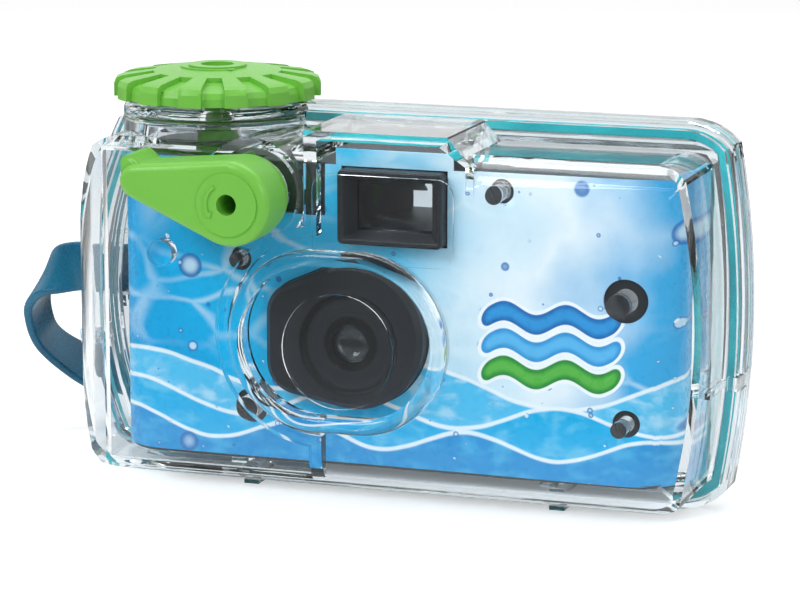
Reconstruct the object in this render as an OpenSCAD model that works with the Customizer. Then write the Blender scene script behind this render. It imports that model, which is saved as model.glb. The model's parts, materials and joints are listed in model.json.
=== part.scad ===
// Single-use film camera in a clear waterproof case, millimetres.
// +X is to the right seen from the front, the lens looks along -Y and +Z is up.
// The origin is the bottom of the parting flange, midway along it, on the parting plane.

/* [Inner camera] */
// Length of the inner camera over its label
cam_w = 108; // [104:1:116]
// Height of the inner camera without its viewfinder hump
cam_h = 56; // [55:1:60]
// Depth of the inner camera over its label
cam_d = 29; // [28.5:0.5:33]
// Distance from the parting plane forward to the label
cam_front = 19.5; // [19:0.5:21]
// Thickness of the printed card label
label_t = 0.5; // [0.3:0.1:0.8]
// Wall of the inner camera's covers
cover_wall = 1.4; // [1:0.1:1.8]
// Radius of the inner camera's upright corners
cam_end_r = 9; // [6:0.5:10]
// Height of the viewfinder hump above the inner camera's top
hump_h = 3; // [2:0.5:4]

/* [Case] */
// Wall of the clear case
wall = 2; // [1.6:0.1:2.4]
// Room left of the inner camera
gap_left = 8; // [8:0.5:12]
// Room right of the inner camera
gap_right = 2.8; // [2.8:0.2:5]
// Room under the inner camera
gap_bottom = 1.4; // [1:0.2:4]
// Room over the inner camera
gap_top = 1.5; // [1.2:0.1:4]
// Room in front of the label
gap_front = 5; // [4.5:0.5:8]
// Room behind the inner camera
gap_back = 2; // [1:0.2:3]
// Reach of the parting flange past the case's ends and bottom
flange_w = 3.6; // [3:0.2:5]
// Reach of the parting flange past the case's top
flange_top = 4.8; // [4:0.2:6]
// Thickness of one parting flange
flange_t = 2.6; // [2:0.2:3.4]
// Height of the ridge that runs round each flange
ridge_h = 1.4; // [0.8:0.2:2]
// Corner radius of the flange
corner_r = 12; // [10:1:16]
// Radius of the sweep at the flange's upper left corner
sweep_r = 21; // [18:1:22]
// Radius of the sweep at the flange's lower left corner
low_sweep_r = 18; // [14:1:18]
// Radius of the bowed left end
bow_left = 72; // [72:2:120]
// Radius of the bowed right end
bow_right = 170; // [150:10:220]
// Rounding of the front edges
edge_r = 8; // [5:0.5:9]
// Rounding of the front face into the left end
end_r = 20; // [14:1:22]
// Rounding of the back edges
back_r = 6; // [4:0.5:7]
// Depth of the step between the grip side and the lens side
step_h = 2.4; // [1:0.2:3]
// Thickness of the gasket between the shells
gasket_t = 1.8; // [1.2:0.2:2.4]
// Width of the gasket in its groove
gasket_w = 1.8; // [1.4:0.1:2]
// Thickness of the runner feet
foot_t = 3; // [2:0.5:5]

/* [Winding knob] */
// Diameter of the knob over its lobes
knob_d = 38.5; // [34:0.5:40]
// Height of the knob
knob_h = 5.2; // [4.8:0.2:6.4]
// Number of grip lobes
lobe_count = 14; // [8:1:16]
// Depth of the flutes between the lobes
flute_depth = 1.1; // [0.6:0.1:1.6]
// Diameter of the turret under the knob
turret_d = 35; // [33:0.5:36]
// Diameter of the knob's shaft in its bore
shaft_d = 5; // [4:0.1:5.4]
// Distance from the inner camera's left end to the knob's axis
spool_in = 15.4; // [15.4:0.2:17]

/* [Shutter lever] */
// Distance from the knob's axis to the lever's axis
lever_off = 14.8; // [14:0.2:16]
// Depth of the lever's hub
lever_depth = 11.5; // [9:0.5:14]
// Radius of the lever's hub
lever_hub_r = 7.8; // [7:0.2:9]
// Length from the lever's axis to its tip
lever_len = 21; // [19:0.5:24]
// Diameter of the lever's shaft
lever_shaft_d = 5; // [4:0.2:6]

/* [Lens port and viewfinder] */
// Height of the clear lens port
port_h = 33; // [32:0.5:36]
// Width of the clear lens port
port_w = 41; // [38:0.5:44]
// Reach of the port's rim past the front face
port_out = 4; // [2:0.5:6]
// Diameter of the ring on the port's window
port_ring_d = 21.5; // [16:0.5:24]
// Diameter of the lens panel's round end
panel_d = 26.8; // [24:0.2:28]
// Diameter of the front lens
lens_d = 8.4; // [7:0.2:9]
// Width of the viewfinder frame
finder_w = 19.8; // [19:0.2:22]
// Height of the viewfinder frame
finder_h = 13.6; // [13:0.2:15]

/* [Film] */
// Diameter of the film cartridge
can_d = 24.6; // [24:0.2:25]
// Diameter of the roll of unexposed film
roll_d = 22.4; // [18:0.2:23]
// Width of the film
film_w = 35; // [34:0.5:35]
// Number of sprocket teeth
sprocket_teeth = 8; // [6:1:10]

/* [Strap] */
// Width of the wrist strap
strap_w = 9.6; // [8:0.2:10]
// Thickness of the wrist strap
strap_t = 1.8; // [1.4:0.1:2]
// Diameter of the bar that holds the strap
lug_d = 3.2; // [2.6:0.2:3.6]

/* [Fits] */
// Clearance of a shaft in its bore
run_fit = 0.06; // [0.03:0.01:0.1]
// Clearance between pieces that move past each other
gap = 0.35; // [0.3:0.05:0.5]
// Clearance between fixed pieces
seat = 0.2; // [0.1:0.05:0.3]

/* [Hidden] */
$fn = 96;
far = 400;
eps = 0.01;
over = 1;

// Case from the inner camera outwards
in_w = cam_w + gap_left + gap_right;
in_h = cam_h + gap_bottom + gap_top;
body_w = in_w + 2 * wall;
body_h = in_h + 2 * wall;
flange_out_w = body_w + 2 * flange_w;
flange_out_h = body_h + flange_w + flange_top;
mid_z = flange_out_h / 2;
body_z = flange_w + body_h / 2;
body_top = flange_w + body_h;
front_depth = cam_front + gap_front + wall;
cam_back = cam_d - cam_front;
rear_depth = cam_back + gap_back + wall;
half_gasket = gasket_t / 2;
grip_depth = front_depth - step_h;
edge_lift = 0.6;
ridge_in = 1.3;
foot_back = 2;
foot_reach = 12;
gasket_in = 1.5;
flange_front = -half_gasket - flange_t;
rib_out = 1;
rib_t = 1.2;
rib_reach = [11, 17];
bow_drop = 2;

// Inner camera
cam_x0 = -in_w / 2 + gap_left;
cam_x1 = cam_x0 + cam_w;
cam_x = (cam_x0 + cam_x1) / 2;
cam_z0 = flange_w + wall + gap_bottom;
cam_z1 = cam_z0 + cam_h;
cover_front = -cam_front + label_t;
split_y = -2;
in_z0 = cam_z0 + cover_wall;
in_z1 = cam_z1 - cover_wall;
notch_depth = 1.1;
notch_y = cover_front + notch_depth;

// Axes
knob_x = cam_x0 + spool_in;
knob_y = cover_front + cover_wall + can_d / 2 + seat;
lever_drop = 5.2;
lever_x = knob_x + lever_off;
lever_z = cam_z1 - lever_drop;
lens_in = 48;
lens_share = 0.425;
lens_up = cam_h * lens_share;
lens_x = cam_x0 + lens_in;
lens_z = cam_z0 + lens_up;
finder_off = 7.4;
finder_rise = 7.6;
finder_x = lens_x + finder_off;
finder_z = lens_z + film_w / 2 + finder_rise;
port_off = 0.5;
port_lift = 1.4;
port_x = lens_x - port_off;
port_z = lens_z + port_lift;

// Lens port
port_r = port_h / 2;
port_half = (port_w - port_h) / 2;
port_wall = 2.2;
port_y = -front_depth - port_out;
window_in = 0.8;
window_y = port_y + window_in;
rim_r = 1.6;
rim_proud = 0.3;
step_off = 6.4;
step_x = port_x - step_off;
step_margin = 4;
ring_cut = 0.4;

// Viewfinder hump of the case
case_hump_room = 0.5;
case_hump_left = 15;
case_hump_right = 12;
case_hump_run = 5;
case_hump_top = cam_z1 + hump_h + gap_top + wall + case_hump_room;
case_hump_x0 = finder_x - case_hump_left;
case_hump_x1 = finder_x + case_hump_right;
sight_w = 26.6;
sight_h = 16;
sight_r = 3;
sight_drop = 1.5;
sight_out = 0.4;
cam_hump_side = 1.2;
cam_hump_half = finder_w / 2 + cam_hump_side;
cam_hump_back = split_y;

// Turret, knob and its drive
turret_r = turret_d / 2;
turret_up = 0.4;
turret_top = flange_out_h + turret_up;
turret_round = 1.6;
turret_low = 10;
turret_base = body_top - turret_low;
knob_gap = 0.8;
knob_z = turret_top + knob_gap;
knob_r = knob_d / 2;
knob_round = 1.5;
dome_rise = 1.4;
face_share = 0.4;
flute_share = 0.62;
flute_top = 0.8;
recess_share = 0.4;
knob_face_r = knob_r * face_share;
flute_in = knob_r * flute_share;
lobe_angle = 180 / lobe_count;
shaft_r = shaft_d / 2;
shaft_step = 0.65;
stem_r = shaft_r - shaft_step;
bush_wall = 1.6;
bush_r = shaft_r + bush_wall;
bush_len = 5.2;
bush_z = turret_top - bush_len;
ring_wire = 0.5;
groove_room = 0.1;
groove_h = 2 * ring_wire + 2 * groove_room;
groove_r = 2 * ring_wire + groove_room;
knob_seal_z = turret_top - wall - groove_h / 2;
knob_ring_r = 5.4;
knob_ring_h = 0.5;
knob_hole_r = 3.1;
knob_dimple = 1.5;
mark_w = 0.6;
mark_h = 0.3;
mark_head = 0.9;
mark_point = 14;
mark_steps = 12;
knob_mark_r = 6.6;
lever_mark_r = 3.9;
lever_disc_r = 5.7;
knob_skirt = 1.8;
coupler_lift = 0.4;
coupler_z = cam_z1 + coupler_lift;
coupler_h = bush_z - gap - coupler_z;
coupler_r = -knob_y - half_gasket - gap;
prong_in = 1.1;
prong_r = coupler_r - prong_in;
prong_d = 1.4;
prong_len = 2.4;

// Winding wheel under the inner camera's top
wheel_r = 9;
wheel_h = 3.2;
wheel_top = in_z1 - gap;
wheel_z = wheel_top - wheel_h;
wheel_teeth = 24;
wheel_hub_r = coupler_r + prong_d / 2;
tooth_share = 0.2;
top_hole_r = wheel_hub_r + gap;
wheel_tooth = 0.9;
fork_r = 2.4;
fork_h = 1.85;
pawl_len = 4;
pawl_t = 1.2;

// Shutter lever
boss_side = 2.5;
boss_out = 2.1;
boss_r = lever_hub_r + boss_side;
boss_y = -grip_depth - boss_out;
lever_back = boss_y - gap;
lever_front = lever_back - lever_depth;
lever_shaft_r = lever_shaft_d / 2;
lever_bush_wall = 2.4;
lever_bush_r = lever_shaft_r + lever_bush_wall;
arm_y = notch_y - gap;
arm_front = -grip_depth + wall + gap;
lever_bush_back = arm_front - gap;
lever_hole_d = 3.8;
lever_hole_depth = 8;
tip_r = 3.2;
tip_z = 3.1;
horn_r = 1.5;
horn_z = 6.3;
lever_soft = 1.6;
lever_rise = 1.2;
hub_in = 0.3;
hub_soft = 0.8;
horn_in = 0.1;
horn_neck = 0.2;
horn_share = 0.12;
lever_seal_y = boss_y + wall;
arm_hub_r = 3.7;
arm_t = 2.4;
spring_wire = 0.8;
spring_r = lever_bush_r + gap + spring_wire / 2;
spring_pitch = 1;
spring_turns = 2;
spring_rings = 24;
wire_sides = 6;
spring_room = 0.1;
spring_y = boss_y + wall + spring_wire / 2 + spring_room;

// Release button under the lever's inner arm
button_arm = 4.6;
button_x = lever_x - button_arm;
button_w = 5;
button_d = 2.4;
button_y = notch_y + cover_wall + gap;
button_down = 1.6;
button_top = cam_z1 - button_down;
button_len = 4.2;
finger_r = 1;
finger_room = 3.4;
finger_z = button_top + gap + finger_r;
notch_left = 3.2;
notch_right = 12;
notch_room = 0.5;
notch_low = lever_z - arm_hub_r - notch_room;

// Film path
can_r = can_d / 2;
floor_t = 2.4;
can_z = in_z0 + floor_t;
spool_up = 1.2;
can_h = wheel_z - fork_h - seat - spool_up - can_z;
can_wall = 0.5;
spool_r = 5.4;
spool_pin_r = 3.8;
spool_down = 1.5;
spool_top = can_z + can_h + spool_up;
film_t = 0.3;
film_z = lens_z - film_w / 2;
roll_r = roll_d / 2;
roll_room = 1.6;
roll_x = cam_x1 - label_t - cover_wall - roll_r - roll_room;
film_y = knob_y + roll_r + gap;
core_r = 4.6;
core_pin_r = 3;
core_floor = 0.8;
core_up = 1;
core_pin_z = in_z0 + core_floor;
sprocket_r = 6;
sprocket_y = film_y - gap - sprocket_r;
sprocket_off = 18.6;
sprocket_drop = 4;
sprocket_x = knob_x + sprocket_off;
sprocket_z = film_z + film_w - sprocket_drop;
sprocket_h = 3.2;
tooth_edge = 0.8;
tooth_root = 0.4;
tooth_len = 1.1;
tooth_w = 1.6;
sprocket_pin_r = 2;
sprocket_pin_len = 2.6;
pinion_r = 3.1;
pinion_w = 1.2;
dial_r = 5.5;
dial_h = 1.2;
dial_off = 3.4;
dial_ahead = 8.6;
dial_x = sprocket_x + dial_off;
dial_y = sprocket_y - dial_ahead;
dial_z = in_z1 - gap - dial_h;
dial_pin_r = 1.2;
dial_pin_len = 3;
dial_window = 3;
dial_teeth = 36;
dial_tooth = 0.4;

// Main frame
frame_room = 0.3;
frame_in = cover_wall + frame_room;
gate_w = 36;
gate_h = 24;
throat_w = 14;
throat_h = 10;
pocket_r = 13;
barrel_len = 4.2;
plate_y = cover_front + barrel_len;
plate_t = 0.6;
blade_y = plate_y + plate_t + gap;
blade_t = 0.4;
pocket_back = blade_y + blade_t + gap;
pivot_off = 10;
pivot_up = 3.5;
pivot_x = lens_x + pivot_off;
pivot_z = lens_z + pivot_up;
pin_seat = 1.2;
blade_boss_r = 1.8;
blade_waist = 0.4;
pivot_d = 1.6;
blade_r = 3.6;
aperture_d = 3;

// Lens and viewfinder pieces
panel_r = panel_d / 2;
panel_left = 16.6;
panel_off = 0.5;
panel_out = 4.6;
panel_corner = 6;
panel_foot = 0.858;
panel_shoulder = 0.55;
panel_dip = 4;
panel_y = cover_front - panel_out;
lens_lip = 0.6;
lens_sink = 2;
panel_hole_r = lens_d / 2 - lens_lip;
lens_seat_y = panel_y + lens_sink;
lens_edge = 1;
lens_lift = 0.35;
lens_curve = 9;
lens_edge_y = lens_seat_y + lens_lift;
panel_soft = 1;
panel_dish_r = 9.4;
dish_edge = 0.6;
dish_wall = 0.8;
dish_depth = 1.4;
retainer_gap = 0.6;
retainer_w = 1.2;
retainer_y = lens_edge_y + lens_edge + retainer_gap;
barrel_r = 5.8;
barrel_y = plate_y - seat;
rear_lens_r = 3.5;
rear_lens_t = 1.6;
rear_lens_in = 2.2;
rear_lens_lip = 0.8;
rear_lens_y = barrel_y - rear_lens_in;
finder_out = 3.4;
finder_rim = 1;
finder_y = cover_front - finder_out;
finder_win_w = 14;
finder_win_h = 9;
finder_glass_t = 1.6;
finder_curve = 30;
eye_curve = 24;
tunnel_w = 16.6;
tunnel_h = 10.6;
tunnel_wall = 1;
frame_gap = 0.9;
frame_top = finder_z - tunnel_h / 2 - frame_gap;
tunnel_y = cover_front + cover_wall + 2 * seat;
eye_w = 9;
eye_h = 6.4;
eye_t = 1.4;
eye_drop = 2;
eye_rim = 0.5;
eye_z = finder_z - eye_drop;
eye_y = cam_back - cover_wall - seat - eye_t;
eye_pad_w = 18;
eye_pad_h = 12;
eye_pad_r = 2.5;
pad_out = 0.8;
rear_pad = 5;

// Places of the clear posts that hold the inner camera: x, z, post diameter, label hole diameter.
// A post without a hole stands on the label.
posts = [
    [knob_x - 4.8, lens_z + 14.3, 5, 0],
    [knob_x + 10.5, lens_z + 14, 3, 4.4],
    [knob_x + 12.4, lens_z - 13.5, 4.5, 6.6],
    [finder_x + 20.2, cam_z1 - 3.2, 3.2, 4.4],
    [roll_x + 5.2, lens_z + 10.6, 4.5, 8],
    [roll_x + 5.6, lens_z - 11.6, 3, 5]
];

foot_places = [knob_x + 8.8, roll_x - 9.4];
label_edge = 0.6;
label_back = 1;
label_wrap_y = split_y - label_back;

// Snap tongues at the two ends
tongue_up = 19;
tongue_z = flange_w + wall + tongue_up;
tongue_w = 2.6;
tongue_t = 1;
tongue_hook = 1.2;

// Strap bar and the loop's route
lug_x = -body_w / 2 - lug_d / 2 - strap_t - 2 * gap;
lug_y = half_gasket + flange_t + ridge_h + strap_t + 2 * gap + lug_d / 2;
lug_ear = 2.2;
lug_rim = 1;
strap_turn_r = lug_d / 2 + gap + strap_t / 2;
loop_gap = 1.8;
floor_gap = 0.8;
loop_back = rear_depth + loop_gap;
strap_low = strap_w / 2 + floor_gap;
strap_route = concat(
    [for (a = [90:-30:-90]) [lug_x + strap_turn_r * cos(a), lug_y + strap_turn_r * sin(a), mid_z]],
    [
        [lug_x - 5.4, lug_y - strap_turn_r + 0.5, mid_z - 0.2],
        [lug_x - 12.2, lug_y - 0.4, mid_z - 2.8],
        [lug_x - 16.4, lug_y + 3, mid_z - 9],
        [lug_x - 16, lug_y + 5.6, mid_z - 16],
        [lug_x - 11.4, lug_y + 9.4, mid_z - 21.6],
        [lug_x - 4, lug_y + 15, strap_low + 4.2],
        [lug_x + 11, lug_y + 23, strap_low + 1],
        [lug_x + 29, lug_y + 25, strap_low],
        [lug_x + 43, lug_y + 22, strap_low],
        [lug_x + 48, loop_back + 8.5, strap_low],
        [lug_x + 42, loop_back + 3, strap_low + 2.4],
        [lug_x + 25, loop_back + 1.5, strap_low + 9.4],
        [lug_x + 10, loop_back + 0.8, mid_z - 9.6],
        [lug_x + 1.4, lug_y + 5.4, mid_z - 1.6]
    ]
);
// How far the band is twisted from upright at each place of the route, 1 being flat along Y
strap_twist = [0, 0, 0, 0, 0, 0, 0, 0, 0.5, 0.9, 0.9, 0.7, 0.35, 0.05, 0, 0, 0, 0, 0, 0, 0];
strap_steps = 3;
strap_edge = 0.45;

// Shared shapes

module rounded_rect(w, h, r) {
    square([w - 2 * r, h], center = true);
    square([w, h - 2 * r], center = true);
    for (x = [-1, 1], y = [-1, 1])
        translate([x * (w / 2 - r), y * (h / 2 - r)])
            circle(r);
}

// Children drawn in X and Z, extruded from y0 to y1
module slab_y(y0, y1) {
    translate([0, y1, 0])
        rotate([90, 0, 0])
            linear_extrude(y1 - y0)
                children();
}

// Children drawn in Y and Z, extruded the whole length of X
module slab_x() {
    rotate([90, 0, 90])
        translate([0, 0, -far / 2])
            linear_extrude(far)
                children();
}

// A round bar along Y
module rod_y(x, z, r, y0, y1) {
    translate([x, y1, z])
        rotate([90, 0, 0])
            cylinder(r = r, h = y1 - y0);
}

// A box from its two corners
module block(low, high) {
    translate(low)
        cube(high - low);
}

// Children turned from a profile in radius and depth round an axis along Y
module turn_y(x, z, y) {
    translate([x, y, z])
        rotate([-90, 0, 0])
            rotate_extrude()
                children();
}

module bow(inset) {
    intersection() {
        translate([bow_left - flange_out_w / 2, mid_z - bow_drop])
            circle(bow_left - inset, $fn = 240);
        translate([flange_out_w / 2 - bow_right, mid_z])
            circle(bow_right - inset, $fn = 240);
    }
}

module flange_outline(inset) {
    intersection() {
        translate([0, mid_z])
            rounded_rect(flange_out_w - 2 * inset, flange_out_h - 2 * inset, corner_r - inset);
        bow(inset);
        sweep(sweep_r, inset);
        low_sweep(inset);
    }
}

// Everything but the upper left corner outside a sweep of radius r
module sweep(r, inset) {
    x = r - flange_out_w / 2;
    z = flange_out_h - r;
    translate([x, -far / 2])
        square([far, far]);
    translate([x - far, z - far])
        square([far, far]);
    translate([x, z])
        circle(r - inset);
}

module low_sweep(inset) {
    translate([0, flange_out_h])
        mirror([0, 1])
            sweep(low_sweep_r, inset);
}

module body_outline(inset) {
    intersection() {
        translate([0, body_z])
            rounded_rect(body_w - 2 * inset, body_h - 2 * inset, corner_r - flange_w - inset);
        bow(flange_w + inset);
        sweep(sweep_r, flange_w + inset);
        low_sweep(flange_w + inset);
    }
}

module oval(r) {
    square([2 * port_half, 2 * r], center = true);
    for (s = [-1, 1])
        translate([s * port_half, 0])
            circle(r);
}

// A plan w long and 2 d deep, whose two ends have their own corner radius
module ended_plan(w, d, left, right) {
    translate([left - w / 2, -d])
        square([w - left - right, 2 * d]);
    translate([-w / 2, left - d])
        square([left, 2 * (d - left)]);
    translate([w / 2 - right, right - d])
        square([right, 2 * (d - right)]);
    for (s = [-1, 1]) {
        translate([left - w / 2, s * (d - left)])
            circle(left);
        translate([w / 2 - right, s * (d - right)])
            circle(right);
    }
}

// Shell body between the parting plane and its face at the given depth, shrunk by inset
module shell_body(depth, round, left, inset) {
    intersection() {
        slab_y(-depth + inset, depth - inset)
            body_outline(inset);
        translate([0, 0, body_z])
            slab_x()
                rounded_rect(2 * (depth - inset), body_h + 2 * edge_lift - 2 * inset, round - inset);
        translate([0, 0, -far / 2])
            linear_extrude(far)
                ended_plan(body_w + 2 * edge_lift - 2 * inset, depth - inset, left - inset, round - inset);
    }
}

// The grip side of the front face, bounded by a line that swings round the lens port
module grip_side(grow) {
    difference() {
        translate([step_x + grow - far, -far / 2])
            square([far, far]);
        translate([port_x, port_z])
            oval(port_r + step_margin - grow);
    }
}

module case_hump(inset) {
    low = lens_z;
    top = case_hump_top - inset;
    slab_y(-front_depth + inset, far)
        polygon([
            [case_hump_x0 + inset, low],
            [case_hump_x0 + inset, top],
            [case_hump_x1 - inset, top],
            [case_hump_x1 + case_hump_run - inset, body_top - wall],
            [case_hump_x1 + case_hump_run - inset, low]
        ]);
}

module turret(inset) {
    r = turret_r - inset;
    round = turret_round;
    h = turret_top - inset - turret_base;
    translate([knob_x, knob_y, turret_base])
        rotate_extrude() {
            square([r - round, h]);
            square([r, h - round]);
            translate([r - round, h - round])
                circle(round);
        }
}

// Everything behind the front shell's back plane
module behind(y) {
    block([-far, y, -far], [far, far, far]);
}

// Everything in front of a plane
module ahead(y) {
    block([-far, -far, -far], [far, y, far]);
}

// A strip of the flange's two ends, at the snap tongues' height
module end_strip(from, to, half) {
    intersection() {
        difference() {
            flange_outline(from);
            flange_outline(to);
        }
        translate([0, tongue_z])
            square([far, 2 * half], center = true);
    }
}

module tongue_notch() {
    slab_y(-far, far)
        end_strip(-over, tongue_t + seat, tongue_w / 2 + seat);
}

// A ring profile whose outer corners are rounded
module soft_disc(r, h, round) {
    square([r - round, h]);
    translate([0, round])
        square([r, h - 2 * round]);
    for (y = [round, h - round])
        translate([r - round, y])
            circle(round);
}

// A ring of round section lying across Z
module seal_ring(r) {
    rotate_extrude()
        translate([r, 0])
            circle(ring_wire, $fn = 32);
}

// Case

module front_outside() {
    difference() {
        shell_body(front_depth, edge_r, end_r, 0);
        slab_y(-far, -grip_depth)
            grip_side(0);
    }
    case_hump(0);
    slab_y(-front_depth - sight_out, -front_depth + wall / 2)
        translate([finder_x, finder_z - sight_drop])
            rounded_rect(sight_w, sight_h, sight_r);
    turret(0);
    rod_y(lever_x, lever_z, boss_r, boss_y, knob_y);
    translate([port_x, 0, port_z])
        slab_y(window_y, -cam_front)
            oval(port_r);
    port_rim();
}

// Rounded rim of the lens port: two half rings joined by straight bars
module port_rim() {
    reach = port_r - rim_r + rim_proud;
    translate([port_x, port_y + rim_r, port_z])
        for (s = [-1, 1]) {
            translate([s * port_half, 0, 0])
                rotate([90, 0, 0])
                    rotate([0, 0, -s * 90])
                        rotate_extrude(angle = 180)
                            translate([reach, 0])
                                circle(rim_r, $fn = 48);
            translate([-port_half, 0, s * reach])
                rotate([0, 90, 0])
                    cylinder(r = rim_r, h = 2 * port_half, $fn = 48);
        }
}

module front_inside() {
    difference() {
        shell_body(front_depth, edge_r, end_r, wall);
        slab_y(-far, -grip_depth + wall)
            grip_side(wall);
    }
    case_hump(wall);
    intersection() {
        turret(wall);
        ahead(flange_front);
    }
    translate([knob_x, knob_y, coupler_z - over])
        cylinder(r = coupler_r + gap, h = bush_z - coupler_z + over);
    rod_y(lever_x, lever_z, boss_r - wall, boss_y + wall, knob_y);
    translate([port_x, 0, port_z])
        slab_y(window_y + wall, flange_front)
            oval(port_r - port_wall);
}

module knob_bore() {
    translate([knob_x, knob_y, bush_z - wall])
        cylinder(r = shaft_r + run_fit, h = bush_len + 2 * wall);
    translate([knob_x, knob_y, knob_seal_z - groove_h / 2])
        cylinder(r = shaft_r + groove_r, h = groove_h);
}

module lever_bore() {
    rod_y(lever_x, lever_z, lever_shaft_r + run_fit, boss_y - wall, lever_bush_back + wall);
    translate([0, lever_seal_y, 0])
        rod_y(lever_x, lever_z, lever_shaft_r + groove_r, -groove_h / 2, groove_h / 2);
}

module front_posts() {
    for (p = posts)
        rod_y(p[0], p[1], p[2] / 2, (p[0] < step_x ? -grip_depth : -front_depth) + wall / 2,
            p[3] > 0 ? cover_front : -cam_front);
}

// Ribs along the case's two ends, level with the snap tongues
module end_ribs() {
    for (k = [0, 1])
        slab_y(-rib_reach[k], flange_front)
            intersection() {
                end_strip(flange_w - rib_out, flange_w + wall / 2, rib_t / 2);
                translate([(k - 1) * far, 0])
                    square([far, far]);
            }
}

module front_case() {
    color("aliceblue", 0.4)
        difference() {
            union() {
                difference() {
                    union() {
                        front_outside();
                        slab_y(flange_front, half_gasket)
                            flange_outline(0);
                        slab_y(flange_front - ridge_h, half_gasket)
                            flange_outline(ridge_in);
                        end_ribs();
                        for (x = foot_places)
                            block([x - foot_t / 2, -foot_reach, 0],
                                [x + foot_t / 2, -half_gasket, flange_w + wall / 2]);
                    }
                    front_inside();
                    tongue_notch();
                }
                front_posts();
                translate([knob_x, knob_y, bush_z])
                    cylinder(r = bush_r, h = bush_len - wall / 2);
                rod_y(lever_x, lever_z, lever_bush_r, boss_y + wall / 2, lever_bush_back);
                for (x = foot_places)
                    block([x - foot_t / 2, -cam_front + foot_back, flange_w + wall / 2],
                        [x + foot_t / 2, flange_front, cam_z0]);
            }
            behind(half_gasket);
            slab_y(-half_gasket, half_gasket + over)
                gasket_ring(seat / 2);
            knob_bore();
            lever_bore();
            translate([lens_x, 0, lens_z])
                slab_y(window_y - eps, window_y + ring_cut)
                    difference() {
                        circle(port_ring_d / 2);
                        circle(port_ring_d / 2 - ring_cut);
                    }
        }
}

module rear_case() {
    flange_back = half_gasket + flange_t;
    color("aliceblue", 0.4) {
        difference() {
            union() {
                difference() {
                    shell_body(rear_depth, back_r, back_r, 0);
                    ahead(half_gasket);
                }
                slab_y(half_gasket, flange_back)
                    flange_outline(0);
                slab_y(half_gasket, flange_back + ridge_h)
                    flange_outline(ridge_in);
                slab_y(rear_depth - wall, rear_depth + pad_out)
                    translate([finder_x, eye_z])
                        rounded_rect(eye_pad_w, eye_pad_h, eye_pad_r);
            }
            shell_body(rear_depth, back_r, back_r, wall);
        }
        for (x = [cam_x0 + cam_w / 4, cam_x1 - cam_w / 4], z = [cam_z0 + rear_pad, cam_z1 - rear_pad])
            rod_y(x, z, rear_pad / 2, cam_back, rear_depth - wall / 2);
        snap_tongues();
        strap_lug();
    }
}

module snap_tongues() {
    hook_y = flange_front - ridge_h - seat;
    slab_y(hook_y - tongue_hook, half_gasket + flange_t)
        end_strip(0, tongue_t, tongue_w / 2);
    slab_y(hook_y - tongue_hook, hook_y)
        end_strip(0, tongue_t + tongue_hook, tongue_w / 2);
}

module strap_lug() {
    ear_r = lug_d / 2 + lug_rim;
    ear_low = strap_w / 2 + gap;
    for (s = [-1, 1])
        translate([0, 0, mid_z + s * (ear_low + lug_ear / 2) - lug_ear / 2])
            linear_extrude(lug_ear) {
                translate([lug_x, lug_y])
                    circle(ear_r);
                translate([lug_x, lug_y - ear_r])
                    square([-body_w / 2 + wall / 2 - lug_x, 2 * ear_r]);
            }
    translate([lug_x, lug_y, mid_z - ear_low - lug_ear / 2])
        cylinder(r = lug_d / 2, h = 2 * ear_low + lug_ear);
}

module gasket_ring(grow) {
    difference() {
        flange_outline(gasket_in - grow);
        flange_outline(gasket_in + gasket_w + grow);
    }
}

module case_gasket() {
    color("teal")
        slab_y(-half_gasket, half_gasket)
            gasket_ring(0);
}

// Strap: a band swept along a closed smooth route that passes round the bar

function strap_point(i) = strap_route[(i + len(strap_route)) % len(strap_route)];
function strap_span(i) = norm(strap_point(i + 1) - strap_point(i));
function strap_heading(i) =
    let (a = strap_span(i - 1), b = strap_span(i))
    ((strap_point(i) - strap_point(i - 1)) / a * b
    + (strap_point(i + 1) - strap_point(i)) / b * a) / (a + b);
function strap_curve(i, t) =
    let (d = strap_span(i))
    strap_point(i) * (2 * t * t * t - 3 * t * t + 1) + strap_heading(i) * d * (t * t * t - 2 * t * t + t)
    + strap_point(i + 1) * (3 * t * t - 2 * t * t * t) + strap_heading(i + 1) * d * (t * t * t - t * t);
function unit(v) = v / norm(v);
function strap_lean(i, t) =
    let (a = strap_twist[i], b = strap_twist[(i + 1) % len(strap_twist)])
    a + (b - a) * t;

module wrist_strap() {
    line = [
        for (i = [0 : len(strap_route) - 1], k = [0 : strap_steps - 1])
            strap_curve(i, k / strap_steps)
    ];
    lean = [
        for (i = [0 : len(strap_route) - 1], k = [0 : strap_steps - 1])
            strap_lean(i, k / strap_steps)
    ];
    count = len(line);
    a = strap_t / 2;
    b = strap_w / 2;
    section = [
        [a, b - strap_edge], [a - strap_edge, b], [strap_edge - a, b], [-a, b - strap_edge],
        [-a, strap_edge - b], [strap_edge - a, -b], [a - strap_edge, -b], [a, strap_edge - b]
    ];
    sides = len(section);
    points = [
        for (i = [0 : count - 1])
            let (
                along = unit(line[(i + 1) % count] - line[(i + count - 1) % count]),
                up = [0, lean[i], 1 - lean[i]],
                across = unit(up - along * (along * up)),
                out = cross(across, along)
            )
            for (p = section)
                line[i] + out * p[0] + across * p[1]
    ];
    faces = [
        for (i = [0 : count - 1], k = [0 : sides - 1])
            let (
                p = i * sides + k,
                q = i * sides + (k + 1) % sides,
                r = (i + 1) % count * sides + (k + 1) % sides,
                s = (i + 1) % count * sides + k
            )
            each [[p, q, r], [p, r, s]]
    ];
    color("darkcyan")
        polyhedron(points, faces);
}

// Winding drive

// Half section of the knob: a rounded rim and a low dome up to the flat middle
module knob_profile(r, h) {
    side = h - dome_rise - knob_round;
    polygon([
        [0, 0],
        [r, 0],
        [r, side],
        [r - knob_round * (1 - cos(45)), side + knob_round * sin(45)],
        [r - knob_round, side + knob_round],
        [knob_face_r, h],
        [0, h]
    ]);
}

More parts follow.
